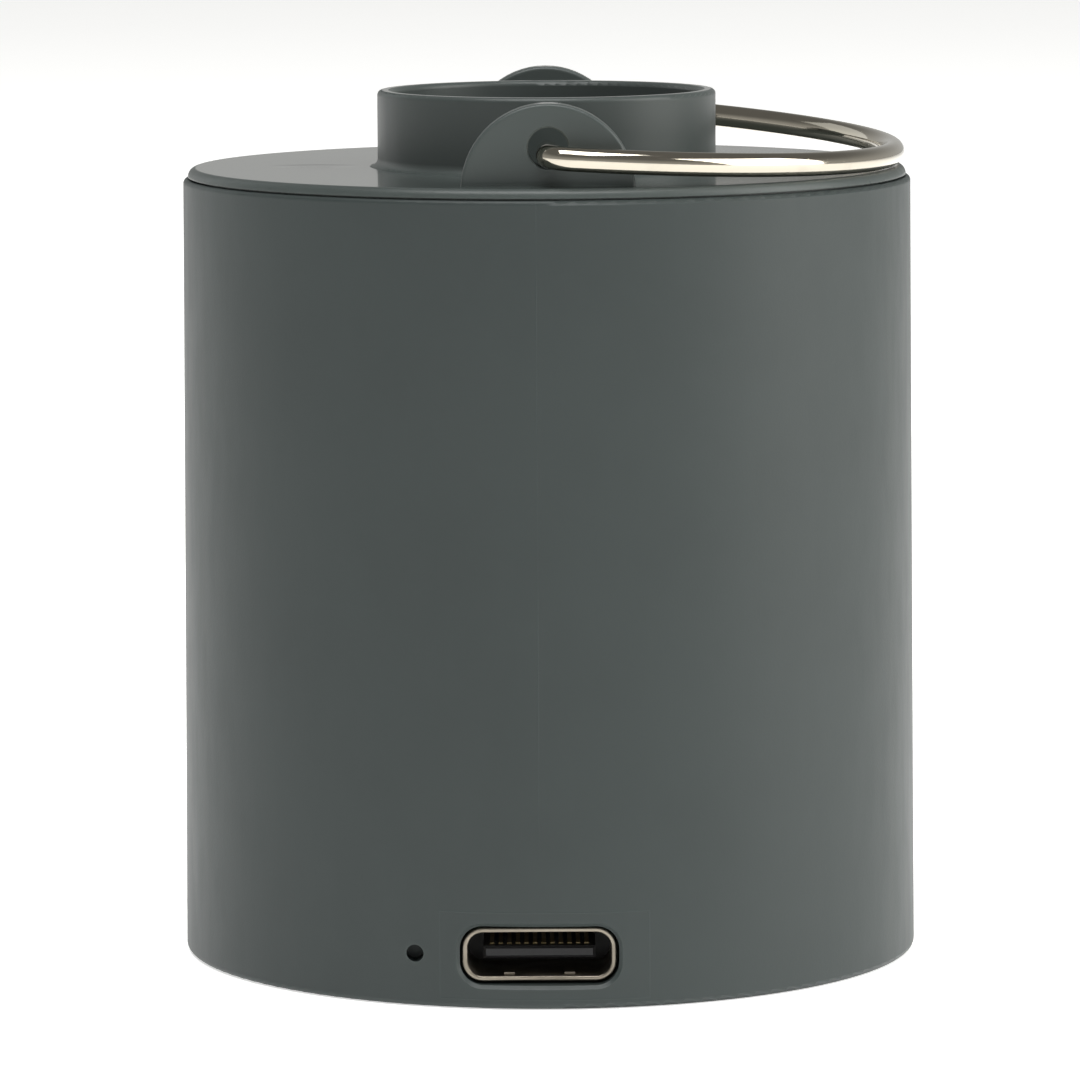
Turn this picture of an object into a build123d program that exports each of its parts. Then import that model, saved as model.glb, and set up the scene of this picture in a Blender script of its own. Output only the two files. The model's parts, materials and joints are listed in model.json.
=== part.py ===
"""Mini rechargeable air pump: a cylindrical housing with a centrifugal blower.

Air comes in through the grille in the base, passes round the motor and the cells, enters
the impeller's eye and leaves through the collar on top. A wire bail swings on two ears.
Origin at the centre of the foot, +Z up, -Y the side with the charging socket. Millimetres.
"""
from build123d import *
import os
from math import asin, atan2, cos, degrees, radians, sin, sqrt

os.makedirs("parts", exist_ok=True)

# ---------------------------------------------------------------- driving dimensions
# Housing: a slightly tapered tube, open at both ends
body_r_foot = 22.2
body_r_top = 21.9
bore_r = 20.4
housing_top = 46.8
foot_edge_r = 0.35
rim_edge_r = 0.25
wall_cut_y = 19.4
wall_cut_depth = 5.0

# Top cover: plate, outlet collar and two ears
plate_z = 47.45
cover_r = 21.62
cover_edge_r = 0.5
cover_under_z = 45.85
reveal_r = 21.3
reveal_height = 0.12
spigot_r = 20.25
spigot_inner_r = 19.2
spigot_z = 45.0
collar_r = 10.19
collar_bore_r = 9.25
collar_top = 52.03
collar_foot_r = 0.5
collar_lip_r = 0.3
ear_r = 5.05
ear_drop = 0.3
rear_ear_rise = 0.3
ear_inner_y = 17.3
ear_thickness = 1.8
ear_hole_r = 1.17
ear_hole_z = 49.65
ear_hole_chamfer = 0.08
ear_edge_r = 0.22

# Bail: bent wire, lying on the plate at rest, a little askew in the ears' loose holes
wire_r = 0.70
wire_end_chamfer = 0.15
bail_r = 20.9
bail_bend_r = 1.45
bail_end_y = 16.9
bail_skew = 1.27
bail_gap = 0.05
pivot_z = ear_hole_z

# Base cover, flush-mounted inside the foot
base_z = 0.3
base_top = 1.3
base_r = 20.2
grille_radii = (8.2, 7.0, 5.8, 4.6, 3.4, 2.2)
grille_spokes = 6
spoke_width = 1.1
grille_hub_r = 2.5
post_r = 1.2
post_pcr = 12.5

# Screws, bosses and ribs on one pitch circle, at 45 degrees to the axes
boss_pcr = 17.6
boss_r = 2.2
shoulder_r = 3.2
shoulder_z = 5.5
boss_top = 7.8
rib_pcr = 19.6
rib_depth = 2.0
rib_width = 2.4
screw_hole_floor = 1.0
screw_r = 0.98
screw_hole_r = 1.0
screw_head_r = 1.8
screw_head_height = 0.85
screw_length = 6.1
screw_clear_r = 1.1
screw_head_gap = 0.1
screw_sink = 0.05
cross_length = 2.2
cross_width = 0.45
cross_depth = 0.6

# Charging socket (USB-C receptacle) and indicator hole
usb_x = -0.73
usb_z = 3.1
usb_cut_w = 9.24
usb_cut_h = 3.46
usb_cut_r = 1.35
usb_cut_chamfer = 0.2
usb_shell_w = 8.94
usb_shell_h = 3.16
usb_shell_r = 1.2
usb_lip_r = 0.12
usb_sheet = 0.3
usb_front_y = 21.3
usb_back_y = 14.0
usb_block_y = 16.0
usb_block_inset = 0.2
usb_leg_x = 4.42
usb_leg_y = 15.9
usb_leg_w = 1.4
dimple_x = 1.75
dimple_w = 0.6
dimple_height = 0.24
dimple_length = 1.4
dimple_setback = 2.0
tongue_w = 6.5
tongue_t = 0.7
tongue_front_y = 20.5
tongue_chamfer = 0.15
contact_count = 12
contact_pitch = 0.5
contact_w = 0.26
contact_length = 3.4
contact_t = 0.05
contact_setback = 2.0
led_x = -7.95
led_hole_r = 0.5
led_y = 17.3
led_w = 1.8
led_depth = 1.0
led_hang = 0.7
led_edge_r = 0.2

# Main board: a ring round the air passage
board_z = 4.7
board_t = 0.8
board_r = 19.6
board_hole_r = 8.5
board_notch_r = 2.5
board_top = board_z + board_t
chip_edge_r = 0.2

# Power button on the back wall, with its switch and board
button_z = 23.4
button_r = 4.5
button_gap = 0.2
button_face_r = 22.0
button_flange_r = 5.4
button_flange_y = 18.7
button_flange_t = 0.7
button_stem_r = 2.0
button_stem_y = 18.3
button_blank = 5.0
button_chamfer = 0.25
mark_depth = 0.2
mark_r = 1.9
mark_in_r = 1.45
mark_line = 0.45
mark_gap_w = 1.5
mark_gap_h = 1.4
mark_bar_h = 1.9
mark_bar_z = 1.7
switch_board_y = 12.6
switch_board_w = 16.0
switch_board_h = 14.0
switch_size = 6.0
switch_depth = 3.5
switch_edge_r = 0.4
plunger_r = 1.7
plunger_gap = 0.1
plunger_in_y = 15.8
plunger_room = 0.5
rail_x = 8.6
rail_w = 2.2
rail_y = 15.2
rail_depth = 7.0
rail_slot_gap = 0.05
rail_floor = 1.0

# Motor: flat-sided can, shaft up
motor_r = 10.2
motor_flat = 15.4
can_wall = 0.8
can_z = 9.0
can_top = 31.0
end_cap_z = 7.6
end_cap_plug = 1.0
end_cap_gap = 0.05
terminal_y = 7.5
terminal_w = 2.0
terminal_t = 0.4
terminal_z = 6.3
terminal_length = 4.5
brush_x = 3.4
brush_length = 1.8
brush_w = 1.6
brush_rise = 0.4
brush_arm_x = 4.45
brush_arm_t = 0.3
bush_r = 2.48
bush_seat_r = 2.5
bush_boss_r = 3.1
bush_bore_r = 1.02
bush_length = 2.1
shaft_r = 0.99
rotor_bore_r = 1.0
shaft_z = 7.0
shaft_top = 41.2
shaft_chamfer = 0.15
magnet_in_r = 7.0
magnet_gap = 0.05
magnet_overhang = 1.5
magnet_split = 4.0
core_r = 6.5
core_z = 15.0
core_top = 25.0
pole_width = 2.6
pole_shoe_t = 1.0
pole_gap_w = 1.6
pole_gap_depth = 4.0
pole_root = 0.4
core_hub_r = 2.2
winding_in = (2.6, 2.1)
winding_out = (6.0, 4.4)
winding_end = 1.4
winding_gap = 0.05
commutator_r = 2.4
commutator_z = 10.8
commutator_top = 13.2
segment_gap_w = 0.3
segment_gap_depth = 1.4
motor_screw_y = 6.5
motor_screw_r = 0.8
motor_screw_hole_r = 0.85
motor_screw_depth = 1.1
motor_screw_head_r = 1.6
motor_screw_head = 1.0
motor_cross_length = 2.0
motor_cross_width = 0.4
motor_cross_depth = 0.5

# Air path above the motor
stack_r = 20.1
stack_in_r = 18.9
bracket_t = 1.4
bracket_arm_w = 3.2
bracket_pad_r = 9.2
bracket_rim_out_r = 19.5
bracket_rim_in_r = 18.8
bracket_boss_gap = 0.1
inlet_z = 35.4
inlet_t = 1.0
eye_r = 7.0
eye_lip = 0.8
eye_lip_t = 1.0
eye_lip_edge_r = 0.4
impeller_r = 16.0
impeller_z = 36.8
impeller_plate_z = 40.6
impeller_top = 41.4
impeller_hub_r = 3.0
impeller_blades = 9
blade_t = 0.8
impeller_hub_drop = 1.0
blade_in_r = 5.4
blade_mid_r = 10.4
blade_out_r = 15.7
blade_mid_turn = 14
blade_out_turn = 40
diffuser_z = 41.6
diffuser_floor_z = 42.2
diffuser_floor_r = 15.6
diffuser_floor_t = 0.8
diffuser_ring_in_r = 18.6
diffuser_ring_top = 44.4
diffuser_vanes = 8
vane_top = 45.8
vane_t = 0.9
vane_in_r = 3.9
vane_mid_r = 11.5
vane_out_r = 18.7
vane_mid_turn = 10
vane_out_turn = 36
hub_r = 4.2
hub_edge_r = 0.5

# Cells and leads
cell_x = 12.65
cell_t = 8.5
cell_w = 20.0
cell_z = 8.4
cell_h = 21.6
cell_edge_r = 1.4
cell_end_r = 0.5
pad_w = 11.0
pad_inset = 2.0
tab_w = 2.4
tab_t = 0.2
tab_y = 5.0
tab_z = 6.5
lead_r = 0.45
lead_bend_r = 0.8
battery_lead_y = 8.6
battery_lead_z = 7.1
motor_lead_start_y = 7.7
motor_lead_y = 10.6
motor_lead_z = 6.9
switch_lead_bend_r = 1.6
switch_lead_top = (1.5, 13.0)
switch_lead_foot = (3.0, 14.6)
switch_lead_jog = (13.6, 9.4)


# ---------------------------------------------------------------- helpers
def polar(radius, angle):
    """Point at a radius and an angle in degrees."""
    return (radius * cos(radians(angle)), radius * sin(radians(angle)))


def rims(part, radius, z):
    """Circular edges of a radius, centred at a height."""
    found = part.edges().filter_by(GeomType.CIRCLE)
    return [e for e in found if abs(e.radius - radius) < 0.001 and abs(e.arc_center.Z - z) < 0.001]


def finish(builder, name):
    """Label a finished piece and write its STEP file."""
    builder.part.label = name
    export_step(builder.part, f"parts/{name}.step")


# ---------------------------------------------------------------- housing
with BuildPart() as housing:
    with BuildSketch(Plane.XZ):
        Polygon(
            (bore_r, 0), (body_r_foot, 0), (body_r_top, housing_top), (bore_r, housing_top),
            align=None,
        )
    revolve(axis=Axis.Z)
    fillet(rims(housing, body_r_foot, 0), foot_edge_r)
    fillet(rims(housing, body_r_top, housing_top), rim_edge_r)

    # screw bosses, their shoulders over the board, and ribs that carry the motor bracket
    with BuildSketch(Plane.XY.offset(base_top)):
        with PolarLocations(boss_pcr, 4, start_angle=45):
            Circle(boss_r)
    extrude(amount=shoulder_z - base_top)
    with BuildSketch(Plane.XY.offset(shoulder_z)):
        with PolarLocations(boss_pcr, 4, start_angle=45):
            Circle(shoulder_r)
    extrude(amount=boss_top - shoulder_z)
    with BuildSketch(Plane.XY.offset(boss_top)):
        with PolarLocations(rib_pcr, 4, start_angle=45):
            Rectangle(rib_depth, rib_width)
    extrude(amount=can_top - boss_top)
    with BuildSketch(Plane.XY.offset(base_top)):
        with PolarLocations(boss_pcr, 4, start_angle=45):
            Circle(screw_hole_r)
    extrude(amount=boss_top - screw_hole_floor - base_top, mode=Mode.SUBTRACT)

    # slotted rails for the switch board
    with BuildSketch(Plane.XY.offset(button_z - switch_board_h / 2 - rail_floor)):
        with Locations((-rail_x, rail_y), (rail_x, rail_y)):
            Rectangle(rail_w, rail_depth)
    extrude(amount=switch_board_h + rail_floor)
    with BuildSketch(Plane.XY.offset(button_z - switch_board_h / 2)):
        with Locations((0, switch_board_y + board_t / 2)):
            Rectangle(switch_board_w + 2 * rail_slot_gap, board_t + 2 * rail_slot_gap)
    extrude(amount=switch_board_h, mode=Mode.SUBTRACT)

    # socket opening, indicator hole and button hole
    with BuildSketch(Plane.XZ.offset(wall_cut_y)):
        with Locations((usb_x, usb_z)):
            RectangleRounded(usb_cut_w, usb_cut_h, usb_cut_r)
        with Locations((led_x, usb_z)):
            Circle(led_hole_r)
    extrude(amount=wall_cut_depth, mode=Mode.SUBTRACT)
    with BuildSketch(Plane.XZ.offset(-wall_cut_y)):
        with Locations((0, button_z)):
            Circle(button_r + button_gap)
    extrude(amount=-wall_cut_depth, mode=Mode.SUBTRACT)
    front_edges = housing.edges().filter_by_position(Axis.Y, -body_r_foot, -usb_front_y)
    cut_sides = (usb_x - usb_cut_w / 2, usb_x + usb_cut_w / 2)
    chamfer(front_edges.filter_by_position(Axis.X, *cut_sides), usb_cut_chamfer)
finish(housing, "housing")

# ---------------------------------------------------------------- top cover
with BuildPart() as top_cover:
    with BuildSketch(Plane.XZ):
        Polygon(
            (collar_bore_r, cover_under_z),
            (collar_bore_r, collar_top),
            (collar_r, collar_top),
            (collar_r, plate_z),
            (cover_r, plate_z),
            (cover_r, housing_top + reveal_height),
            (reveal_r, housing_top + reveal_height),
            (reveal_r, housing_top),
            (spigot_r, housing_top),
            (spigot_r, spigot_z),
            (spigot_inner_r, spigot_z),
            (spigot_inner_r, cover_under_z),
            align=None,
        )
    revolve(axis=Axis.Z)
    fillet(rims(top_cover, cover_r, plate_z), cover_edge_r)
    fillet(rims(top_cover, collar_r, plate_z), collar_foot_r)
    fillet(rims(top_cover, collar_r, collar_top), collar_lip_r)
    fillet(rims(top_cover, collar_bore_r, collar_top), collar_lip_r)

    # the two ears, each a half disc standing on the plate
    front_ear = (ear_inner_y + ear_thickness, plate_z - ear_drop)
    rear_ear = (-ear_inner_y, plate_z - ear_drop + rear_ear_rise)
    for ear_face_y, ear_centre_z in (front_ear, rear_ear):
        with BuildSketch(Plane.XZ.offset(ear_face_y)):
            with Locations((0, ear_centre_z)):
                Circle(ear_r)
            with Locations((0, plate_z - ear_drop)):
                Rectangle(2 * ear_r, 2 * ear_r, align=(Align.CENTER, Align.MAX), mode=Mode.SUBTRACT)
            with Locations((0, ear_hole_z)):
                Circle(ear_hole_r, mode=Mode.SUBTRACT)
        extrude(amount=-ear_thickness)
    ear_rims = top_cover.edges().filter_by(GeomType.CIRCLE)
    hole_rims = [e for e in ear_rims if abs(e.radius - ear_hole_r) < 0.001]
    outer_rims = [e for e in ear_rims if abs(e.radius - ear_r) < 0.001]
    chamfer(hole_rims, ear_hole_chamfer)
    fillet(outer_rims, ear_edge_r)
finish(top_cover, "top_cover")

# ---------------------------------------------------------------- bail
# Both wire ends stand in the ears' holes. The loop is an arc about the pump's axis, and a
# tight bend joins it to each end. It slopes down to lie on the plate's edge, and its play in
# the holes lets it lie a little lower at the front than at the back.
bail_drop = (pivot_z - plate_z - wire_r - bail_gap) / bail_r
skew_sin = sin(radians(bail_skew))
skew_cos = cos(radians(bail_skew))
bail_tilt = asin(sqrt(bail_drop**2 - skew_sin**2) / skew_cos)
bail_plane = Plane(
    origin=(0, 0, pivot_z),
    x_dir=(cos(bail_tilt), sin(bail_tilt) * skew_sin, -sin(bail_tilt) * skew_cos),
    z_dir=(sin(bail_tilt), -cos(bail_tilt) * skew_sin, cos(bail_tilt) * skew_cos),
)
bend_y = sqrt((bail_r - bail_bend_r) ** 2 - bail_bend_r**2)
bend_turn = 180 - degrees(atan2(bend_y, bail_bend_r))
loop_turn = 2 * degrees(atan2(bend_y, bail_bend_r))
with BuildPart() as bail:
    with BuildLine(bail_plane) as bail_path:
        front_end = Line((0, -bail_end_y), (0, -bend_y))
        front_bend = JernArc(front_end @ 1, front_end % 1, bail_bend_r, bend_turn)
        loop = JernArc(front_bend @ 1, front_bend % 1, bail_r, loop_turn)
        back_bend = JernArc(loop @ 1, loop % 1, bail_bend_r, bend_turn)
        Line(back_bend @ 1, (0, bail_end_y))
    with BuildSketch(Plane(origin=bail_path.line @ 0, z_dir=bail_path.line % 0)):
        Circle(wire_r)
    sweep()
    wire_ends = bail.edges().filter_by(GeomType.CIRCLE)
    chamfer([e for e in wire_ends if abs(abs(e.arc_center.Y) - bail_end_y) < wire_r], wire_end_chamfer)
finish(bail, "bail")

# ---------------------------------------------------------------- base cover and screws
with BuildPart() as base_cover:
    with BuildSketch(Plane.XY.offset(base_z)):
        Circle(base_r)
        for ring, radius in enumerate(grille_radii):
            Circle(radius, mode=Mode.SUBTRACT if ring % 2 == 0 else Mode.ADD)
        with PolarLocations(grille_radii[0] / 2, grille_spokes):
            Rectangle(grille_radii[0], spoke_width)
        Circle(grille_hub_r)
    extrude(amount=base_top - base_z)
    with BuildSketch(Plane.XY.offset(base_top)):
        with PolarLocations(post_pcr, 4, start_angle=45):
            Circle(post_r)
    extrude(amount=board_z - base_top)
    with BuildSketch(Plane.XY.offset(base_z)):
        with PolarLocations(boss_pcr, 4, start_angle=45):
            Circle(screw_clear_r)
    extrude(amount=base_top - base_z, mode=Mode.SUBTRACT)
    for spot in PolarLocations(boss_pcr, 4, start_angle=45):
        with BuildSketch(Plane.XY.offset(base_z)):
            with Locations(spot):
                Circle(screw_head_r + screw_head_gap)
        with BuildSketch(Plane.XY.offset(base_z + screw_head_height)):
            with Locations(spot):
                Circle(screw_clear_r)
        loft(mode=Mode.SUBTRACT)
finish(base_cover, "base_cover")

with BuildPart() as base_screws:
    for spot in PolarLocations(boss_pcr, 4, start_angle=45):
        with BuildSketch(Plane.XY.offset(base_z + screw_sink)):
            with Locations(spot):
                Circle(screw_head_r)
        with BuildSketch(Plane.XY.offset(base_z + screw_head_height)):
            with Locations(spot):
                Circle(screw_r)
        loft()
        with BuildSketch(Plane.XY.offset(base_z + screw_head_height)):
            with Locations(spot):
                Circle(screw_r)
        extrude(amount=screw_length - screw_head_height)
        with BuildSketch(Plane.XY.offset(base_z + screw_sink)):
            with Locations(spot):
                Rectangle(cross_length, cross_width)
                Rectangle(cross_width, cross_length)
        extrude(amount=cross_depth, mode=Mode.SUBTRACT)
finish(base_screws, "base_screws")

# ---------------------------------------------------------------- charging socket
usb_in_w = usb_shell_w - 2 * usb_sheet
usb_in_h = usb_shell_h - 2 * usb_sheet
usb_in_r = usb_shell_r - usb_sheet
with BuildPart() as usb_shell:
    with BuildSketch(Plane.XZ.offset(usb_back_y)):
        with Locations((usb_x, usb_z)):
            RectangleRounded(usb_shell_w, usb_shell_h, usb_shell_r)
            RectangleRounded(usb_in_w, usb_in_h, usb_in_r, mode=Mode.SUBTRACT)
    extrude(amount=usb_front_y - usb_back_y)
    fillet(usb_shell.faces().sort_by(Axis.Y)[0].edges(), usb_lip_r)
    # legs up to the board
    with BuildSketch(Plane.XY.offset(usb_z)):
        with Locations((usb_x - usb_leg_x, -usb_leg_y), (usb_x + usb_leg_x, -usb_leg_y)):
            Rectangle(usb_sheet, usb_leg_w)
    extrude(amount=board_z - usb_z)
    # two spring dimples in the floor of the shell
    shell_floor_z = usb_z - usb_shell_h / 2 + usb_sheet
    with BuildSketch(Plane.XZ.offset(usb_front_y - dimple_setback)):
        with Locations((usb_x - dimple_x, shell_floor_z), (usb_x + dimple_x, shell_floor_z)):
            Rectangle(dimple_w, dimple_height)
    extrude(amount=dimple_length)
finish(usb_shell, "usb_shell")

with BuildPart() as usb_insulator:
    with BuildSketch(Plane.XZ.offset(usb_back_y + usb_block_inset)):
        with Locations((usb_x, usb_z)):
            RectangleRounded(usb_in_w, usb_in_h, usb_in_r)
    extrude(amount=usb_block_y - usb_back_y - usb_block_inset)
    with BuildSketch(Plane.XZ.offset(usb_block_y)):
        with Locations((usb_x, usb_z)):
            Rectangle(tongue_w, tongue_t)
    extrude(amount=tongue_front_y - usb_block_y)
    tongue_tip = usb_insulator.faces().sort_by(Axis.Y)[0]
    chamfer(tongue_tip.edges(), tongue_chamfer)
finish(usb_insulator, "usb_insulator")

with BuildPart() as usb_contacts:
    for pad_z in (usb_z + tongue_t / 2, usb_z - tongue_t / 2 - contact_t):
        with BuildSketch(Plane.XY.offset(pad_z)):
            with Locations((usb_x, -usb_block_y - contact_setback)):
                with GridLocations(contact_pitch, 0, contact_count, 1):
                    Rectangle(contact_w, contact_length)
        extrude(amount=contact_t)
finish(usb_contacts, "usb_contacts")

with BuildPart() as charge_led:
    with BuildSketch(Plane.XY.offset(usb_z - led_hang)):
        with Locations((led_x, -led_y)):
            Rectangle(led_w, led_depth)
    extrude(amount=board_z - usb_z + led_hang)
    fillet(charge_led.edges().filter_by(Axis.Z), led_edge_r)
finish(charge_led, "charge_led")

# ---------------------------------------------------------------- main board
with BuildPart() as main_board:
    with BuildSketch(Plane.XY.offset(board_z)):
        Circle(board_r)
        Circle(board_hole_r, mode=Mode.SUBTRACT)
        with PolarLocations(boss_pcr, 4, start_angle=45):
            Circle(board_notch_r, mode=Mode.SUBTRACT)
    extrude(amount=board_t)
finish(main_board, "main_board")

# chip, coil, driver and capacitors: position, size and height of each
component_table = (
    (-15.9, -4.2, 3.6, 3.6, 0.9),
    (15.9, 4.0, 4.0, 4.0, 2.0),
    (-6.0, -12.2, 3.0, 3.0, 0.8),
    (0.0, -12.6, 3.2, 1.8, 1.2),
    (5.6, -11.8, 2.0, 1.3, 0.9),
    (-15.4, 0.0, 2.6, 3.0, 1.0),
    (15.4, 0.0, 2.0, 1.3, 0.9),
    (-15.6, 4.2, 2.0, 1.3, 0.9),
    (7.5, 11.6, 2.6, 3.2, 1.1),
)
with BuildPart() as board_components:
    for x, y, width, depth, height in component_table:
        with BuildSketch(Plane.XY.offset(board_top)):
            with Locations((x, y)):
                RectangleRounded(width, depth, chip_edge_r)
        extrude(amount=height)
finish(board_components, "board_components")

# ---------------------------------------------------------------- button and switch
with BuildPart() as power_button:
    with BuildSketch(Plane.XZ.offset(-button_flange_y)):
        with Locations((0, button_z)):
            Circle(button_r)
    extrude(amount=-button_blank)
    with BuildSketch(Plane.XY.offset(button_z - button_r)):
        Circle(button_face_r)
    extrude(amount=2 * button_r, mode=Mode.INTERSECT)
    face_rim = power_button.edges().filter_by_position(Axis.Y, body_r_foot - 1, body_r_foot)
    chamfer(face_rim, button_chamfer)
    with BuildSketch(Plane.XZ.offset(-button_flange_y)):
        with Locations((0, button_z)):
            Circle(button_flange_r)
    extrude(amount=-button_flange_t)
    with BuildSketch(Plane.XZ.offset(-button_stem_y)):
        with Locations((0, button_z)):
            Circle(button_stem_r)
    extrude(amount=button_stem_y - button_flange_y)
    # engraved power mark: an open ring and a bar
    with BuildSketch(Plane.XZ.offset(-button_face_r + mark_depth)):
        with Locations((0, button_z)):
            Circle(mark_r)
            Circle(mark_in_r, mode=Mode.SUBTRACT)
        with Locations((0, button_z + mark_bar_z)):
            Rectangle(mark_gap_w, mark_gap_h, mode=Mode.SUBTRACT)
            Rectangle(mark_line, mark_bar_h)
    extrude(amount=-button_blank, mode=Mode.SUBTRACT)
finish(power_button, "power_button")

with BuildPart() as switch_plunger:
    with BuildSketch(Plane.XZ.offset(-plunger_in_y)):
        with Locations((0, button_z)):
            Circle(plunger_r)
    extrude(amount=plunger_in_y - button_stem_y)
finish(switch_plunger, "switch_plunger")

switch_face_y = switch_board_y + board_t + switch_depth
with BuildPart() as switch_body:
    with BuildSketch(Plane.XZ.offset(-switch_board_y - board_t)):
        with Locations((0, button_z)):
            RectangleRounded(switch_size, switch_size, switch_edge_r)
    extrude(amount=-switch_depth)
    with BuildSketch(Plane.XZ.offset(-switch_face_y)):
        with Locations((0, button_z)):
            Circle(plunger_r + plunger_gap)
    extrude(amount=switch_face_y - plunger_in_y + plunger_room, mode=Mode.SUBTRACT)
finish(switch_body, "switch_body")

with BuildPart() as switch_board:
    with BuildSketch(Plane.XZ.offset(-switch_board_y)):
        with Locations((0, button_z)):
            Rectangle(switch_board_w, switch_board_h)
    extrude(amount=-board_t)
finish(switch_board, "switch_board")

# ---------------------------------------------------------------- motor, fixed pieces
with BuildPart() as motor_can:
    with BuildSketch(Plane.XY.offset(can_z)):
        Circle(motor_r)
        Rectangle(motor_flat, 3 * motor_r, mode=Mode.INTERSECT)
    extrude(amount=can_top - can_z)
    with BuildSketch(Plane.XY.offset(can_top)):
        Circle(bush_boss_r)
    extrude(amount=bush_length - can_wall)
    with BuildSketch(Plane.XY.offset(can_z)):
        Circle(motor_r - can_wall)
        Rectangle(motor_flat - 2 * can_wall, 3 * motor_r, mode=Mode.INTERSECT)
    extrude(amount=can_top - can_wall - can_z, mode=Mode.SUBTRACT)
    with BuildSketch(Plane.XY.offset(can_top - can_wall)):
        Circle(bush_seat_r)
        with Locations((0, -motor_screw_y), (0, motor_screw_y)):
            Circle(motor_screw_hole_r)
    extrude(amount=bush_length, mode=Mode.SUBTRACT)
finish(motor_can, "motor_can")

with BuildPart() as motor_end_cap:
    with BuildSketch(Plane.XY.offset(end_cap_z)):
        Circle(motor_r)
        Rectangle(motor_flat, 3 * motor_r, mode=Mode.INTERSECT)
    extrude(amount=can_z - end_cap_z)
    with BuildSketch(Plane.XY.offset(can_z)):
        Circle(motor_r - can_wall - end_cap_gap)
        Rectangle(motor_flat - 2 * (can_wall + end_cap_gap), 3 * motor_r, mode=Mode.INTERSECT)
    extrude(amount=end_cap_plug)
    with BuildSketch(Plane.XY.offset(end_cap_z)):
        Circle(bush_seat_r)
        with Locations((0, -terminal_y), (0, terminal_y)):
            Rectangle(terminal_w, terminal_t)
    extrude(amount=can_z + end_cap_plug - end_cap_z, mode=Mode.SUBTRACT)
finish(motor_end_cap, "motor_end_cap")


def bush(z):
    """One sintered bush of the motor, standing on a height."""
    with BuildPart() as piece:
        with BuildSketch(Plane.XY.offset(z)):
            Circle(bush_r)
            Circle(bush_bore_r, mode=Mode.SUBTRACT)
        extrude(amount=bush_length)
    return piece


finish(bush(end_cap_z), "lower_bush")
finish(bush(can_top - can_wall), "upper_bush")

with BuildPart() as motor_terminals:
    with BuildSketch(Plane.XY.offset(terminal_z)):
        with Locations((0, -terminal_y), (0, terminal_y)):
            Rectangle(terminal_w, terminal_t)
    extrude(amount=terminal_length)
finish(motor_terminals, "motor_terminals")

with BuildPart() as motor_brushes:
    with BuildSketch(Plane.XY.offset(commutator_z + brush_rise)):
        with Locations((-brush_x, 0), (brush_x, 0)):
            Rectangle(brush_length, brush_w)
    extrude(amount=brush_w)
    with BuildSketch(Plane.XY.offset(can_z + end_cap_plug)):
        with Locations((-brush_arm_x, 0), (brush_arm_x, 0)):
            Rectangle(brush_arm_t, brush_w)
    extrude(amount=commutator_z + brush_rise + brush_w - can_z - end_cap_plug)
finish(motor_brushes, "motor_brushes")

with BuildPart() as motor_magnets:
    with BuildSketch(Plane.XY.offset(core_z - magnet_overhang)):
        Circle(motor_r - can_wall - magnet_gap)
        Circle(magnet_in_r, mode=Mode.SUBTRACT)
        Rectangle(motor_flat - 2 * (can_wall + magnet_gap), 3 * motor_r, mode=Mode.INTERSECT)
        Rectangle(3 * motor_r, magnet_split, mode=Mode.SUBTRACT)
    extrude(amount=core_top - core_z + 2 * magnet_overhang)
finish(motor_magnets, "motor_magnets")

with BuildPart() as motor_screws:
    with BuildSketch(Plane.XY.offset(can_top - motor_screw_depth)):
        with Locations((0, -motor_screw_y), (0, motor_screw_y)):
            Circle(motor_screw_r)
    extrude(amount=bracket_t + motor_screw_depth)
    with BuildSketch(Plane.XY.offset(can_top + bracket_t)):
        with Locations((0, -motor_screw_y), (0, motor_screw_y)):
            Circle(motor_screw_head_r)
    extrude(amount=motor_screw_head)
    with BuildSketch(Plane.XY.offset(can_top + bracket_t + motor_screw_head - motor_cross_depth)):
        with Locations((0, -motor_screw_y), (0, motor_screw_y)):
            Rectangle(motor_cross_length, motor_cross_width)
            Rectangle(motor_cross_width, motor_cross_length)
    extrude(amount=motor_cross_depth, mode=Mode.SUBTRACT)
finish(motor_screws, "motor_screws")

# ---------------------------------------------------------------- rotor
with BuildPart() as motor_shaft:
    with BuildSketch(Plane.XY.offset(shaft_z)):
        Circle(shaft_r)
    extrude(amount=shaft_top - shaft_z)
    chamfer(motor_shaft.edges().filter_by(GeomType.CIRCLE), shaft_chamfer)
finish(motor_shaft, "motor_shaft")

with BuildPart() as motor_core:
    with BuildSketch(Plane.XY.offset(core_z)):
        Circle(core_r)
        Circle(core_r - pole_shoe_t, mode=Mode.SUBTRACT)
        with PolarLocations(core_r, 3, start_angle=60):
            Rectangle(pole_gap_depth, pole_gap_w, mode=Mode.SUBTRACT)
        Circle(core_hub_r)
        with PolarLocations((core_r - pole_root) / 2, 3):
            Rectangle(core_r - pole_root, pole_width)
        Circle(rotor_bore_r, mode=Mode.SUBTRACT)
    extrude(amount=core_top - core_z)
finish(motor_core, "motor_core")

with BuildPart() as motor_windings:
    for pole_angle in (0, 120, 240):
        with BuildSketch(Plane.XY.rotated((0, 0, pole_angle)).offset(core_z - winding_end)):
            Polygon(
                (winding_in[0], -winding_in[1]), (winding_out[0], -winding_out[1]), winding_out, winding_in,
                align=None,
            )
            Circle(core_r - pole_shoe_t - 2 * winding_gap, mode=Mode.INTERSECT)
        extrude(amount=core_top - core_z + 2 * winding_end)
        with BuildSketch(Plane.XY.rotated((0, 0, pole_angle)).offset(core_z - winding_gap)):
            with Locations((core_r / 2, 0)):
                Rectangle(core_r, pole_width + 2 * winding_gap)
        extrude(amount=core_top - core_z + 2 * winding_gap, mode=Mode.SUBTRACT)
finish(motor_windings, "motor_windings")

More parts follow.
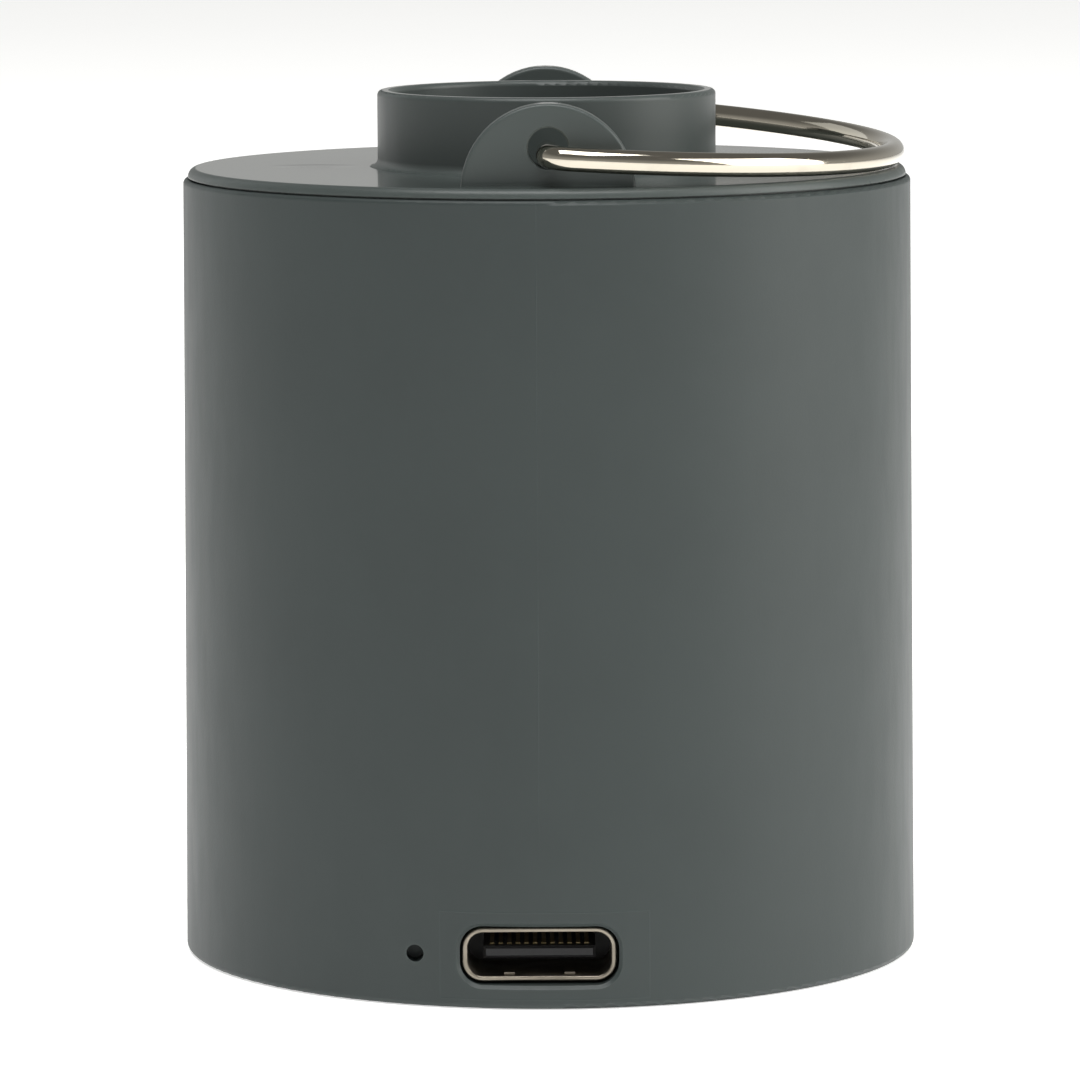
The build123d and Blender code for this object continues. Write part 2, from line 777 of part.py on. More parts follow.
with BuildPart() as commutator:
    with BuildSketch(Plane.XY.offset(commutator_z)):
        Circle(commutator_r)
        Circle(rotor_bore_r, mode=Mode.SUBTRACT)
        with PolarLocations(commutator_r, 3, start_angle=60):
            Rectangle(segment_gap_depth, segment_gap_w, mode=Mode.SUBTRACT)
    extrude(amount=commutator_top - commutator_z)
finish(commutator, "commutator")

with BuildPart() as impeller:
    with BuildSketch(Plane.XY.offset(impeller_plate_z)):
        Circle(impeller_r)
    extrude(amount=impeller_top - impeller_plate_z)
    with BuildSketch(Plane.XY.offset(impeller_z - impeller_hub_drop)):
        Circle(impeller_hub_r)
    extrude(amount=impeller_top - impeller_z + impeller_hub_drop)
    with BuildSketch(Plane.XY.offset(impeller_z)):
        for blade in range(impeller_blades):
            blade_angle = 360 / impeller_blades * blade
            with BuildLine():
                ThreePointArc(
                    polar(blade_in_r, blade_angle),
                    polar(blade_mid_r, blade_angle - blade_mid_turn),
                    polar(blade_out_r, blade_angle - blade_out_turn),
                )
            trace(line_width=blade_t)
    extrude(amount=impeller_plate_z - impeller_z)
    with BuildSketch(Plane.XY.offset(impeller_z - impeller_hub_drop)):
        Circle(rotor_bore_r)
    extrude(amount=impeller_top - impeller_z + impeller_hub_drop, mode=Mode.SUBTRACT)
finish(impeller, "impeller")

# ---------------------------------------------------------------- air path, fixed pieces
with BuildPart() as motor_bracket:
    with BuildSketch(Plane.XY.offset(can_top)):
        Circle(bracket_rim_out_r)
        Circle(bracket_rim_in_r, mode=Mode.SUBTRACT)
        Circle(bracket_pad_r)
        with PolarLocations(stack_in_r / 2, 4, start_angle=45):
            Rectangle(stack_in_r, bracket_arm_w)
        Circle(bush_boss_r + bracket_boss_gap, mode=Mode.SUBTRACT)
        with Locations((0, -motor_screw_y), (0, motor_screw_y)):
            Circle(motor_screw_hole_r, mode=Mode.SUBTRACT)
    extrude(amount=bracket_t)
    with BuildSketch(Plane.XY.offset(can_top)):
        Circle(stack_r)
        Circle(stack_in_r, mode=Mode.SUBTRACT)
    extrude(amount=inlet_z - can_top)
finish(motor_bracket, "motor_bracket")

with BuildPart() as inlet_plate:
    with BuildSketch(Plane.XZ):
        Polygon(
            (eye_r, inlet_z - eye_lip),
            (eye_r + eye_lip_t, inlet_z - eye_lip),
            (eye_r + eye_lip_t, inlet_z),
            (stack_r, inlet_z),
            (stack_r, diffuser_z),
            (stack_in_r, diffuser_z),
            (stack_in_r, inlet_z + inlet_t),
            (eye_r, inlet_z + inlet_t),
            align=None,
        )
    revolve(axis=Axis.Z)
    fillet(rims(inlet_plate, eye_r, inlet_z - eye_lip), eye_lip_edge_r)
finish(inlet_plate, "inlet_plate")

with BuildPart() as diffuser:
    with BuildSketch(Plane.XY.offset(diffuser_floor_z)):
        Circle(diffuser_floor_r)
    extrude(amount=diffuser_floor_t)
    with BuildSketch(Plane.XY.offset(diffuser_z)):
        Circle(stack_r)
        Circle(diffuser_ring_in_r, mode=Mode.SUBTRACT)
    extrude(amount=diffuser_ring_top - diffuser_z)
    with BuildSketch(Plane.XY.offset(diffuser_floor_z + diffuser_floor_t)):
        for vane in range(diffuser_vanes):
            vane_angle = 360 / diffuser_vanes * vane
            with BuildLine():
                ThreePointArc(
                    polar(vane_in_r, vane_angle),
                    polar(vane_mid_r, vane_angle + vane_mid_turn),
                    polar(vane_out_r, vane_angle + vane_out_turn),
                )
            trace(line_width=vane_t)
    extrude(amount=vane_top - diffuser_floor_z - diffuser_floor_t)
    with BuildSketch(Plane.XY.offset(diffuser_floor_z + diffuser_floor_t)):
        Circle(hub_r)
    extrude(amount=vane_top - diffuser_floor_z - diffuser_floor_t)
    fillet(rims(diffuser, hub_r, vane_top), hub_edge_r)
finish(diffuser, "diffuser")

with BuildPart() as top_seal:
    with BuildSketch(Plane.XY.offset(diffuser_ring_top)):
        Circle(stack_r)
        Circle(spigot_inner_r, mode=Mode.SUBTRACT)
    extrude(amount=spigot_z - diffuser_ring_top)
finish(top_seal, "top_seal")

# ---------------------------------------------------------------- cells and leads
with BuildPart() as battery_cells:
    with BuildSketch(Plane.XY.offset(cell_z)):
        with Locations((-cell_x, 0), (cell_x, 0)):
            RectangleRounded(cell_t, cell_w, cell_edge_r)
    extrude(amount=cell_h)
    fillet(battery_cells.faces().filter_by(Axis.Z).edges(), cell_end_r)
finish(battery_cells, "battery_cells")

with BuildPart() as cell_pads:
    with BuildSketch(Plane.XY.offset(cell_z + pad_inset)):
        pad_x = (motor_flat / 2 + cell_x - cell_t / 2) / 2
        with Locations((-pad_x, 0), (pad_x, 0)):
            Rectangle(cell_x - cell_t / 2 - motor_flat / 2, pad_w)
    extrude(amount=cell_h - 2 * pad_inset)
finish(cell_pads, "cell_pads")

with BuildPart() as cell_tabs:
    with BuildSketch(Plane.XY.offset(tab_z)):
        with GridLocations(2 * cell_x, 2 * tab_y, 2, 2):
            Rectangle(tab_t, tab_w)
    extrude(amount=cell_z - tab_z)
finish(cell_tabs, "cell_tabs")


def leads(routes, bend_r):
    """Insulated wires, each along straight runs with rounded corners."""
    with BuildPart() as wires:
        for route in routes:
            with BuildLine() as path:
                FilletPolyline(*route, radius=bend_r)
            with BuildSketch(Plane(origin=path.line @ 0, z_dir=path.line % 0)):
                Circle(lead_r)
            sweep(path=path.line)
    return wires


tab_edge_y = tab_y + tab_w / 2
battery_routes = [
    (
        (sx * cell_x, sy * tab_edge_y, battery_lead_z),
        (sx * cell_x, sy * battery_lead_y, battery_lead_z),
        (sx * cell_x, sy * battery_lead_y, board_top),
    )
    for sx in (-1, 1)
    for sy in (-1, 1)
]
finish(leads(battery_routes, lead_bend_r), "battery_leads")

motor_routes = [
    (
        (0, sy * motor_lead_start_y, motor_lead_z),
        (0, sy * motor_lead_y, motor_lead_z),
        (0, sy * motor_lead_y, board_top),
    )
    for sy in (-1, 1)
]
finish(leads(motor_routes, lead_bend_r), "motor_leads")

switch_foot_z = button_z - switch_board_h / 2
switch_routes = [
    (
        (sx * switch_lead_top[0], switch_lead_top[1], switch_foot_z),
        (sx * switch_lead_top[0], switch_lead_top[1], switch_lead_jog[0]),
        (sx * switch_lead_foot[0], switch_lead_foot[1], switch_lead_jog[1]),
        (sx * switch_lead_foot[0], switch_lead_foot[1], board_top),
    )
    for sx in (-1, 1)
]
finish(leads(switch_routes, switch_lead_bend_r), "switch_leads")
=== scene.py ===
"""Looks of the mini air pump: materials, small mould details, floor, lights and camera. Metres."""

import json
from math import cos, sin

import bpy
from mathutils import Matrix, Vector


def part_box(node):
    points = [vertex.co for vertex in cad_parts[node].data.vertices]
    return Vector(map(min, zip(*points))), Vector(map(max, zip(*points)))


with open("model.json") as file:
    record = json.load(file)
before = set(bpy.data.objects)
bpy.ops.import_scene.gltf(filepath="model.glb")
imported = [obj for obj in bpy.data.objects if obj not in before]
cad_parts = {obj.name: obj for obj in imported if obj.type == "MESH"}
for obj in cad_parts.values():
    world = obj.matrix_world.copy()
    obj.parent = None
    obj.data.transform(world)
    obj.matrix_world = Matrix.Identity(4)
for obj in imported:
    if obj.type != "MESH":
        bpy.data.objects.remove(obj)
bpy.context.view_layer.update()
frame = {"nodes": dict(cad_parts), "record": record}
nodes = frame["nodes"]
MM = 0.001

# ------------------------------------------------------------------ driving sizes and levels
# how far edge wear reaches, on plastic, metal and the boards; on plastic the pale edges are part wear, part
# painted highlight
EDGE_R = 0.35 * MM
METAL_EDGE_R = 0.25 * MM
BOARD_EDGE_R = 0.2 * MM
# the housing's witness lines and the outline of the insert round the socket
MARK_W = 0.05 * MM
MARK_DEPTH = 0.012 * MM
MARK_PALE = 0.28
INSERT_SHIFT = 0.3 * MM
INSERT_MARGIN = 1.5 * MM
INSERT_HALF_H = 2.55 * MM
FOOT_CLEAR = 0.5 * MM
SEAM_FADE = (4 * MM, 8 * MM)
# the sink mark on the top plate
SINK_X = -14.0 * MM
SINK_HALF_X = 2.6 * MM
SINK_HALF_Y = 1.6 * MM
SINK_DEPTH = 0.04 * MM
# the motor's steel sheets and wire turns
LAMINATION_T = 0.25 * MM
TURN_T = 0.16 * MM
TURN_WANDER = 0.1 * MM
# plastic: how it reflects, how pale its edges (part wear, part painted highlight) and marks are, how much
# smoother its edges are
PLASTIC_IOR = 1.46
PLASTIC_SPECULAR = 0.32
EDGE_WEAR_HIGHLIGHT_TINT = 2.2
MARK_TINT = 1.7
EDGE_POLISH = 0.12
FINE_ROUGHNESS = 0.03
SMEAR_DOWN = 0.015
SMEAR_UP = 0.025
# the normal's Z from which a face counts as facing up, and how much of the grain is polished off it
FACES_UP = (0.985, 0.999)
POLISHED_OFF = 0.9
# the studio
FLOOR_REACH = 6.0
FLOOR_Z = -0.05 * MM
FLOOR_GLOW = 0.62
# the sky's strength falls between two heights of the direction looked in
SKY_BAND = (0.05, 0.6)
SKY_STRENGTH = (0.50, 0.18)
SKY_COLOR = (1.0, 1.0, 0.97, 1)

# ------------------------------------------------------------------ places taken from the frame
housing_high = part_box("housing")[1]
shell_low, shell_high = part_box("usb_shell")
socket_x = (shell_low.x + shell_high.x) / 2
socket_z = (shell_low.z + shell_high.z) / 2
socket_half_w = (shell_high.x - shell_low.x) / 2


# ------------------------------------------------------------------ node helpers
class Graph:
    """A Principled material with short calls for the nodes that shape it."""

    def __init__(self, name):
        self.material = bpy.data.materials.new(name)
        self.material.use_nodes = True
        self.tree = self.material.node_tree
        self.shader = self.tree.nodes["Principled BSDF"]
        self.place = self.tree.nodes.new("ShaderNodeTexCoord").outputs["Object"]

    def node(self, kind, **settings):
        made = self.tree.nodes.new(kind)
        for key, value in settings.items():
            setattr(made, key, value)
        return made

    def feed(self, socket, value):
        if isinstance(value, bpy.types.NodeSocket):
            self.tree.links.new(value, socket)
        else:
            socket.default_value = value

    def math(self, operation, *values, clamp=False):
        made = self.node("ShaderNodeMath", operation=operation, use_clamp=clamp)
        for socket, value in zip(made.inputs, values):
            self.feed(socket, value)
        return made.outputs[0]

    def noise(self, scale, detail=2.0, stretch=None, distortion=0.0):
        """Noise from 0 to 1; scale is in features per metre."""
        made = self.node("ShaderNodeTexNoise")
        self.feed(made.inputs["Scale"], scale)
        self.feed(made.inputs["Detail"], detail)
        self.feed(made.inputs["Distortion"], distortion)
        place = self.place
        if stretch:
            mapping = self.node("ShaderNodeMapping")
            self.feed(mapping.inputs["Vector"], place)
            self.feed(mapping.inputs["Scale"], stretch)
            place = mapping.outputs[0]
        self.feed(made.inputs["Vector"], place)
        return made.outputs["Fac"]

    def cells(self, scale):
        made = self.node("ShaderNodeTexVoronoi")
        self.feed(made.inputs["Scale"], scale)
        self.feed(made.inputs["Vector"], self.place)
        return made.outputs["Distance"]

    def between(self, value, low, high, out_low=0.0, out_high=1.0):
        """Maps low..high to out_low..out_high, clamped and smoothed."""
        made = self.node("ShaderNodeMapRange", interpolation_type="SMOOTHSTEP")
        for socket, number in zip(made.inputs, (value, low, high, out_low, out_high)):
            self.feed(socket, number)
        return made.outputs["Result"]

    def mix(self, factor, first, second):
        made = self.node("ShaderNodeMix", data_type="RGBA")
        self.feed(made.inputs["Factor"], factor)
        self.feed(made.inputs[6], first)
        self.feed(made.inputs[7], second)
        return made.outputs[2]

    def axes(self):
        made = self.node("ShaderNodeSeparateXYZ")
        self.feed(made.inputs[0], self.place)
        return made.outputs

    def edge_mask(self, radius, low=0.02, high=0.25):
        """1 on convex and concave edges, from the difference a small bevel makes to the normal."""
        bevel = self.node("ShaderNodeBevel", samples=4)
        self.feed(bevel.inputs["Radius"], radius)
        facing = self.node("ShaderNodeNewGeometry").outputs["Normal"]
        dot = self.node("ShaderNodeVectorMath", operation="DOT_PRODUCT")
        self.feed(dot.inputs[0], bevel.outputs[0])
        self.feed(dot.inputs[1], facing)
        return self.between(self.math("SUBTRACT", 1.0, dot.outputs["Value"]), low, high)

    def bump(self, *layers):
        """Bumps in order, each a height socket with its depth in metres."""
        normal = None
        for height, depth in layers:
            made = self.node("ShaderNodeBump")
            self.feed(made.inputs["Strength"], 1.0)
            self.feed(made.inputs["Distance"], depth)
            self.feed(made.inputs["Height"], height)
            if normal:
                self.feed(made.inputs["Normal"], normal)
            normal = made.outputs[0]
        self.feed(self.shader.inputs["Normal"], normal)

    def set(self, **values):
        for name, value in values.items():
            self.feed(self.shader.inputs[name.replace("_", " ")], value)


def tint(color, factor):
    return tuple(min(1.0, c * factor) for c in color) + (1.0,)


# ------------------------------------------------------------------ materials
def plastic(name, color, rough=0.42, grain=7000, grain_depth=0.000004, mottle=0.03, wear_and_highlight=0.35, extra=None,
            polished=None):
    """Moulded plastic: spark-eroded grain, slow mottling, handling marks and polished edges, whose pale tint
    on convex and concave edges is part wear, part painted highlight.
    extra(graph) may add features: it returns (a mask that lightens, a height, its depth).
    polished is the roughness of faces that look straight up, where the mould was polished."""
    g = Graph(name)
    slow = g.noise(120, 3)
    cloud = g.noise(420, 4, distortion=0.4)
    fine = g.noise(grain, 2)
    smear = g.noise(900, 5, stretch=(1.0, 1.0, 0.25))
    base = g.mix(g.between(slow, 0.3, 0.7), tint(color, 1 - mottle), tint(color, 1 + mottle))
    base = g.mix(g.between(cloud, 0.45, 0.75, 0.0, 0.35), base, tint(color, 1 + 2 * mottle))
    # pale convex and concave edges: part edge wear, part painted highlight
    edges = g.math("MULTIPLY", g.edge_mask(EDGE_R), g.between(g.noise(1600, 3), 0.35, 0.65, 0.3, 1.0))
    base = g.mix(g.math("MULTIPLY", edges, wear_and_highlight), base, tint(color, EDGE_WEAR_HIGHLIGHT_TINT))
    layers = [(fine, grain_depth), (g.noise(2600, 2), grain_depth * 0.8)]
    if extra:
        mask, height, depth = extra(g)
        base = g.mix(mask, base, tint(color, MARK_TINT))
        layers.append((height, depth))
    g.set(Base_Color=base)
    roughness = g.math("ADD", g.between(smear, 0.3, 0.75, rough - SMEAR_DOWN, rough + SMEAR_UP),
                       g.math("MULTIPLY", fine, FINE_ROUGHNESS))
    roughness = g.math("SUBTRACT", roughness, g.math("MULTIPLY", edges, EDGE_POLISH))
    if polished:
        up = g.node("ShaderNodeSeparateXYZ")
        g.feed(up.inputs[0], g.node("ShaderNodeNewGeometry").outputs["Normal"])
        flat = g.between(up.outputs["Z"], *FACES_UP)
        drop = g.math("MULTIPLY", g.math("SUBTRACT", roughness, polished), flat)
        roughness = g.math("SUBTRACT", roughness, drop)
        matt = g.math("SUBTRACT", 1.0, g.math("MULTIPLY", flat, POLISHED_OFF))
        layers = [(height, g.math("MULTIPLY", depth, matt)) for height, depth in layers[:2]] + layers[2:]
    g.set(Roughness=roughness)
    g.set(IOR=PLASTIC_IOR, Specular_IOR_Level=PLASTIC_SPECULAR)
    g.bump(*layers)
    return g.material


def housing_marks(g):
    """The mould's witness lines: one up the front, and the outline of the insert round the socket."""
    x, y, z = g.axes()
    front = g.math("LESS_THAN", y, 0.0)
    up_front = g.between(g.math("ABSOLUTE", g.math("SUBTRACT", x, socket_x)), MARK_W * 0.3, MARK_W, 1.0, 0.0)
    fade = g.between(z, socket_z + SEAM_FADE[0], socket_z + SEAM_FADE[1])
    patchy = g.between(g.noise(300, 2, stretch=(0.1, 0.1, 1.0)), 0.35, 0.6, 0.25, 1.0)
    seam = g.math("MULTIPLY", g.math("MULTIPLY", up_front, fade), patchy)
    half_w = socket_half_w + INSERT_MARGIN
    dx = g.math("SUBTRACT", g.math("ABSOLUTE", g.math("SUBTRACT", x, socket_x + INSERT_SHIFT)), half_w)
    dz = g.math("SUBTRACT", g.math("ABSOLUTE", g.math("SUBTRACT", z, socket_z)), INSERT_HALF_H)
    outline = g.math("ABSOLUTE", g.math("MAXIMUM", dx, dz))
    insert = g.between(outline, MARK_W * 0.3, MARK_W, 0.7, 0.0)
    above_foot = g.math("GREATER_THAN", z, FOOT_CLEAR)
    insert = g.math("MULTIPLY", insert, above_foot)
    marks = g.math("MULTIPLY", g.math("MAXIMUM", seam, insert), front)
    return g.math("MULTIPLY", marks, MARK_PALE), marks, MARK_DEPTH


def cover_marks(g):
    """A shallow sink mark on the plate, left of the collar."""
    x, y = g.axes()[0:2]
    dx = g.math("DIVIDE", g.math("SUBTRACT", x, SINK_X), SINK_HALF_X)
    dy = g.math("DIVIDE", y, SINK_HALF_Y)
    distance = g.math("SQRT", g.math("ADD", g.math("MULTIPLY", dx, dx), g.math("MULTIPLY", dy, dy)))
    sink = g.between(distance, 0.2, 1.2, 1.0, 0.0)
    return 0.0, g.math("SUBTRACT", 1.0, sink), SINK_DEPTH


def metal(name, color, rough=0.15, scratch=0.5, depth=0.000002, tarnish=(0.35, 0.3, 0.24), stretch=(1, 1, 1)):
    """Metal with fine scratches, patches of haze and patches of tarnish."""
    g = Graph(name)
    haze = g.noise(500, 4, distortion=0.3)
    lines = g.noise(3000, 3, stretch=stretch)
    pits = g.cells(2600)
    base = g.mix(g.between(haze, 0.5, 0.8, 0.0, 0.4), color + (1.0,), tint(color, 0.82))
    base = g.mix(g.between(g.noise(1400, 4), 0.68, 0.85, 0.0, 0.5 * scratch), base, tarnish + (1.0,))
    edges = g.edge_mask(METAL_EDGE_R)
    base = g.mix(g.math("MULTIPLY", edges, 0.4), base, tint(color, 1.15))
    g.set(Base_Color=base, Metallic=1.0)
    g.set(Roughness=g.math("ADD", g.between(haze, 0.3, 0.8, rough * 0.8, rough * 1.5),
                           g.math("MULTIPLY", g.between(lines, 0.5, 0.8), 0.12 * scratch)))
    g.bump((lines, depth), (g.between(pits, 0.0, 0.12), depth * 1.5))
    return g.material


def circuit_board(name):
    """Green solder mask with copper tracks that show through, and pale pads."""
    g = Graph(name)
    tracks = g.node("ShaderNodeTexBrick")
    g.feed(tracks.inputs["Vector"], g.place)
    g.feed(tracks.inputs["Scale"], 420.0)
    g.feed(tracks.inputs["Mortar Size"], 0.06)
    g.feed(tracks.inputs["Color1"], (0.010, 0.115, 0.040, 1))
    g.feed(tracks.inputs["Color2"], (0.012, 0.095, 0.034, 1))
    g.feed(tracks.inputs["Mortar"], (0.030, 0.210, 0.070, 1))
    vias = g.between(g.cells(330), 0.10, 0.14, 1.0, 0.0)
    edges = g.edge_mask(BOARD_EDGE_R)
    base = g.mix(vias, tracks.outputs["Color"], (0.62, 0.50, 0.26, 1))
    base = g.mix(edges, base, (0.42, 0.38, 0.20, 1))
    g.set(Base_Color=base)
    g.set(Metallic=g.math("MULTIPLY", vias, 0.9))
    g.set(Roughness=g.between(g.noise(900, 3), 0.3, 0.7, 0.22, 0.38))
    g.bump((tracks.outputs["Fac"], -0.00002), (g.noise(5000, 2), 0.000003))
    return g.material


def laminations(name, color):
    """Stacked sheets: fine rings round the axis, with rust-brown in the gaps."""
    g = Graph(name)
    z = g.axes()[2]
    stack = g.math("PINGPONG", z, LAMINATION_T)
    gap = g.between(stack, 0.0, LAMINATION_T / 5, 1.0, 0.0)
    base = g.mix(g.noise(800, 3), tint(color, 0.8), tint(color, 1.25))
    g.set(Base_Color=g.mix(gap, base, (0.05, 0.035, 0.025, 1)), Metallic=1.0)
    g.set(Roughness=g.between(g.noise(1500, 3), 0.3, 0.7, 0.3, 0.5))
    g.bump((gap, -0.00003))
    return g.material


def enamelled_turns(name, color):
    """Turns of enamelled wire, as ridges over the winding block, with painted shade in the grooves between
    turns.
    """
    g = Graph(name)
    z = g.axes()[2]
    wander = g.math("MULTIPLY", g.noise(500, 2), TURN_WANDER)
    turns = g.math("PINGPONG", g.math("ADD", z, wander), TURN_T)
    ridge = g.between(turns, 0.0, TURN_T)
    # painted shade: each turn darkens towards the grooves between turns and is lightest on its crest
    base = g.mix(ridge, tint(color, 0.35), color + (1.0,))
    base = g.mix(g.between(g.noise(700, 3), 0.4, 0.7, 0, 0.5), base, tint(color, 0.7))
    g.set(Base_Color=base, Metallic=1.0)
    g.set(Roughness=g.between(g.noise(2500, 2), 0.3, 0.7, 0.2, 0.34))
    g.bump((ridge, 0.00005))
    return g.material


def foil(name, color):
    """Soft laminated foil: broad dents and fine creases."""
    g = Graph(name)
    dents = g.noise(130, 3, distortion=0.6)
    crease = g.between(g.cells(260), 0.0, 0.25)
    base = g.mix(g.between(g.noise(350, 4), 0.35, 0.7), tint(color, 0.85), tint(color, 1.1))
    g.set(Base_Color=base, Metallic=1.0)
    g.set(Roughness=g.between(g.noise(1200, 4), 0.3, 0.7, 0.28, 0.42))
    g.bump((dents, 0.00020), (crease, 0.00002))
    return g.material


def insulation(name, color, rough=0.45):
    """Soft rubber or PVC: slight bloom, dust and a faint waxy grain."""
    g = Graph(name)
    dust = g.between(g.noise(2500, 5), 0.6, 0.8, 0.0, 0.25)
    base = g.mix(g.between(g.noise(600, 3), 0.35, 0.7), tint(color, 0.85), tint(color, 1.15))
    g.set(Base_Color=g.mix(dust, base, tint(color, 1.8)))
    g.set(Roughness=g.between(g.noise(1500, 3), 0.3, 0.7, rough - 0.06, rough + 0.1))
    g.bump((g.noise(6000, 2), 0.000005))
    return g.material


def foam(name, color):
    """Closed-cell foam tape: small open cells on every face, with painted shade inside the cells."""
    g = Graph(name)
    pores = g.between(g.cells(3200), 0.05, 0.35)
    # painted shade: the cells darken towards their centres
    g.set(Base_Color=g.mix(pores, tint(color, 0.6), color + (1.0,)))
    g.set(Roughness=g.between(g.noise(1500, 3), 0.3, 0.7, 0.75, 0.95))
    g.bump((pores, 0.00006))
    return g.material


body_color = (0.0290, 0.0368, 0.0358)
cover_color = (0.0480, 0.0575, 0.0550)
looks = {
    "body_plastic": plastic("moulded_body", body_color, 0.44, extra=housing_marks),
    "cover_plastic": plastic("moulded_cover", cover_color, 0.36, grain_depth=0.000002, extra=cover_marks,
                             polished=0.12),
    "base_plastic": plastic("moulded_base", body_color, 0.46),
    "button_plastic": plastic("moulded_button", tint(body_color, 0.75)[:3], 0.36),
    "black_plastic": plastic("black_plastic", (0.012, 0.012, 0.013), 0.4),
    "white_plastic": plastic("natural_plastic", (0.62, 0.60, 0.54), 0.4, wear_and_highlight=0.1),
    "fan_plastic": plastic("fan_plastic", (0.42, 0.43, 0.42), 0.36, wear_and_highlight=0.15),
    "led_lens": plastic("smoked_lens", (0.012, 0.014, 0.014), 0.2, wear_and_highlight=0.1),
    "chip_black": plastic("chip_black", (0.02, 0.02, 0.021), 0.5, grain=9000, wear_and_highlight=0.5),
    "magnet": plastic("ferrite", (0.035, 0.034, 0.034), 0.55, grain=5000, wear_and_highlight=0.6),
    "plated_wire": metal("bright_nickel_wire", (0.50, 0.46, 0.385), 0.07, scratch=0.4),
    "plated_screws": metal("plated_screws", (0.62, 0.60, 0.56), 0.22),
    "socket_metal": metal("socket_nickel", (0.24, 0.215, 0.175), 0.35, scratch=0.8, stretch=(0.2, 1, 1)),
    "motor_steel": metal("zinc_steel", (0.56, 0.56, 0.55), 0.28, scratch=0.8, stretch=(1, 1, 0.2)),
    "gold_contacts": metal("gold_flash", (0.46, 0.37, 0.20), 0.35),
    "bronze": metal("sintered_bronze", (0.52, 0.34, 0.18), 0.42, depth=0.00001),
    "copper": metal("copper", (0.80, 0.42, 0.27), 0.25),
    "cell_tab_nickel": metal("nickel_strip", (0.66, 0.64, 0.60), 0.3),
    "core_steel": laminations("core_laminations", (0.32, 0.32, 0.33)),
    "circuit_board": circuit_board("circuit_board"),
    "cell_foil": foil("pouch_foil", (0.62, 0.64, 0.68)),
    "seal_rubber": insulation("seal_rubber", (0.018, 0.018, 0.018), 0.6),
    "pad_foam": foam("foam_tape", (0.72, 0.70, 0.65)),
    "lead_red": insulation("lead_red", (0.42, 0.02, 0.018)),
    "lead_black": insulation("lead_black", (0.02, 0.02, 0.02)),
    "lead_white": insulation("lead_white", (0.66, 0.65, 0.62)),
}
windings_look = enamelled_turns("enamelled_turns", (0.70, 0.26, 0.12))

for part in frame["record"]["subparts"]:
    piece = nodes[part["node"]]
    look = windings_look if part["node"] == "motor_windings" else looks[part["material_slot"]]
    piece.data.materials.clear()
    piece.data.materials.append(look)


# ------------------------------------------------------------------ floor, light and camera
def floor_material():
    """Pale paper, clear from below so that the underside can be seen."""
    g = Graph("studio_floor")
    patch = g.noise(6, 3)
    g.set(Base_Color=g.mix(patch, (0.90, 0.90, 0.895, 1), (0.93, 0.93, 0.925, 1)))
    g.set(Roughness=g.between(g.noise(40, 3), 0.3, 0.7, 0.7, 0.85))
    g.set(Specular_IOR_Level=0.2)
    g.set(Emission_Color=(1.0, 1.0, 0.99, 1), Emission_Strength=FLOOR_GLOW)
    one_sided = g.node("ShaderNodeMixShader")
    g.feed(one_sided.inputs[0], g.node("ShaderNodeNewGeometry").outputs["Backfacing"])
    g.feed(one_sided.inputs[1], g.shader.outputs[0])
    g.feed(one_sided.inputs[2], g.node("ShaderNodeBsdfTransparent").outputs[0])
    g.feed(g.tree.nodes["Material Output"].inputs["Surface"], one_sided.outputs[0])
    return g.material


floor_mesh = bpy.data.meshes.new("studio_floor")
corners = [(x * FLOOR_REACH, y * FLOOR_REACH, FLOOR_Z) for x, y in ((-1, -1), (1, -1), (1, 1), (-1, 1))]
floor_mesh.from_pydata(corners, [], [(0, 1, 2, 3)])
floor = bpy.data.objects.new("studio_floor", floor_mesh)
floor.data.materials.append(floor_material())
bpy.context.scene.collection.objects.link(floor)


def softbox(name, place, aim, width, height, power, color=(1, 1, 1)):
    light = bpy.data.lights.new(name, "AREA")
    light.shape = "RECTANGLE"
    light.size = width
    light.size_y = height
    light.energy = power
    light.color = color
    lamp = bpy.data.objects.new(name, light)
    lamp.location = place
    lamp.rotation_euler = (Vector(aim) - Vector(place)).to_track_quat("-Z", "Y").to_euler()
    bpy.context.scene.collection.objects.link(lamp)


centre = (0, 0, housing_high.z / 2)
softbox("key_right", place=(0.72, -0.14, 0.36), aim=centre, width=0.6, height=0.7, power=6.0,
        color=(1.0, 0.985, 0.95))
softbox("top_panel", place=(-0.05, -0.24, 0.82), aim=centre, width=0.7, height=0.5, power=8.0)
softbox("back_left", place=(-0.60, 0.60, 0.36), aim=centre, width=0.5, height=0.6, power=0.5,
        color=(0.97, 1.0, 1.0))

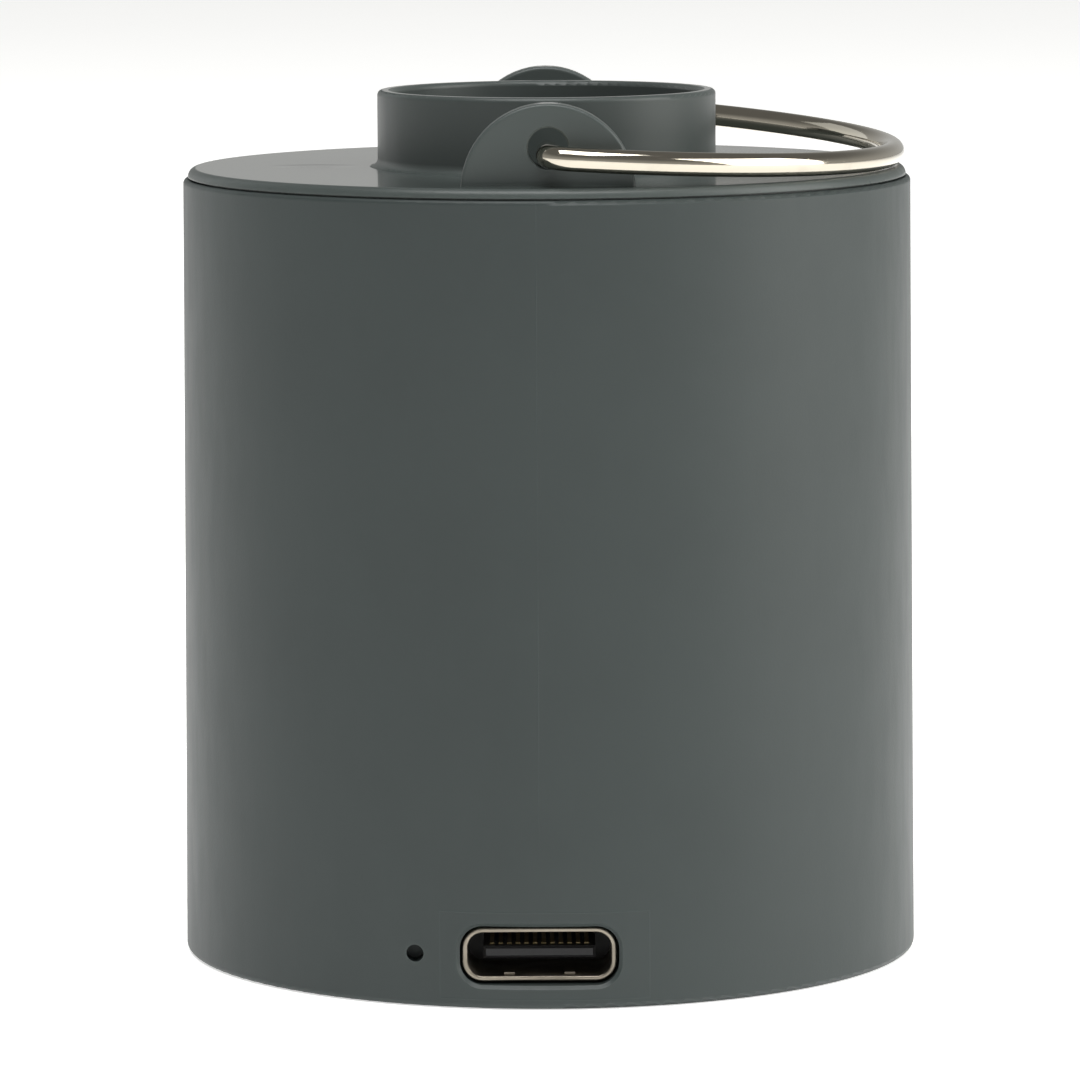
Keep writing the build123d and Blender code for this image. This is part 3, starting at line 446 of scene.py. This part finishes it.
# a studio that is paler at eye level than overhead
world = bpy.data.worlds.new("studio")
world.use_nodes = True
sky = world.node_tree
direction = sky.nodes.new("ShaderNodeTexCoord").outputs["Generated"]
height = sky.nodes.new("ShaderNodeSeparateXYZ")
sky.links.new(direction, height.inputs[0])
ramp = sky.nodes.new("ShaderNodeMapRange")
ramp.interpolation_type = "SMOOTHSTEP"
ramp.inputs["From Min"].default_value, ramp.inputs["From Max"].default_value = SKY_BAND
ramp.inputs["To Min"].default_value, ramp.inputs["To Max"].default_value = SKY_STRENGTH
sky.links.new(height.outputs["Z"], ramp.inputs["Value"])
sky.links.new(ramp.outputs["Result"], sky.nodes["Background"].inputs["Strength"])
sky.nodes["Background"].inputs["Color"].default_value = SKY_COLOR
bpy.context.scene.world = world
bpy.context.scene.view_settings.view_transform = "Standard"

# metres, radians and millimetres of lens, fitted to the body, the plate, the collar and the socket together
CAMERA_DISTANCE = 0.3937
CAMERA_HEIGHT = 0.0731
CAMERA_SIDE = -0.001585
CAMERA_TURN = 0.0027
CAMERA_DOWN = 0.12244
CAMERA_ROLL = -0.0052
SENSOR = 36.0
LENS = 217.7
CLIP_START = 0.01
CLIP_END = 20

camera = bpy.data.objects.new("camera", bpy.data.cameras.new("camera"))
camera.data.sensor_width = SENSOR
camera.data.lens = LENS
camera.data.clip_start = CLIP_START
camera.data.clip_end = CLIP_END
ahead = Vector((sin(CAMERA_TURN) * cos(CAMERA_DOWN), cos(CAMERA_TURN) * cos(CAMERA_DOWN), -sin(CAMERA_DOWN)))
side = Vector((cos(CAMERA_TURN), -sin(CAMERA_TURN), 0))
upward = side.cross(ahead)
rolled_side = side * cos(CAMERA_ROLL) + upward * sin(CAMERA_ROLL)
rolled_up = upward * cos(CAMERA_ROLL) - side * sin(CAMERA_ROLL)
camera.matrix_world = (
    Matrix.Translation((CAMERA_SIDE, -CAMERA_DISTANCE, CAMERA_HEIGHT))
    @ Matrix((rolled_side, rolled_up, -ahead)).transposed().to_4x4()
)
bpy.context.scene.collection.objects.link(camera)
bpy.context.scene.camera = camera
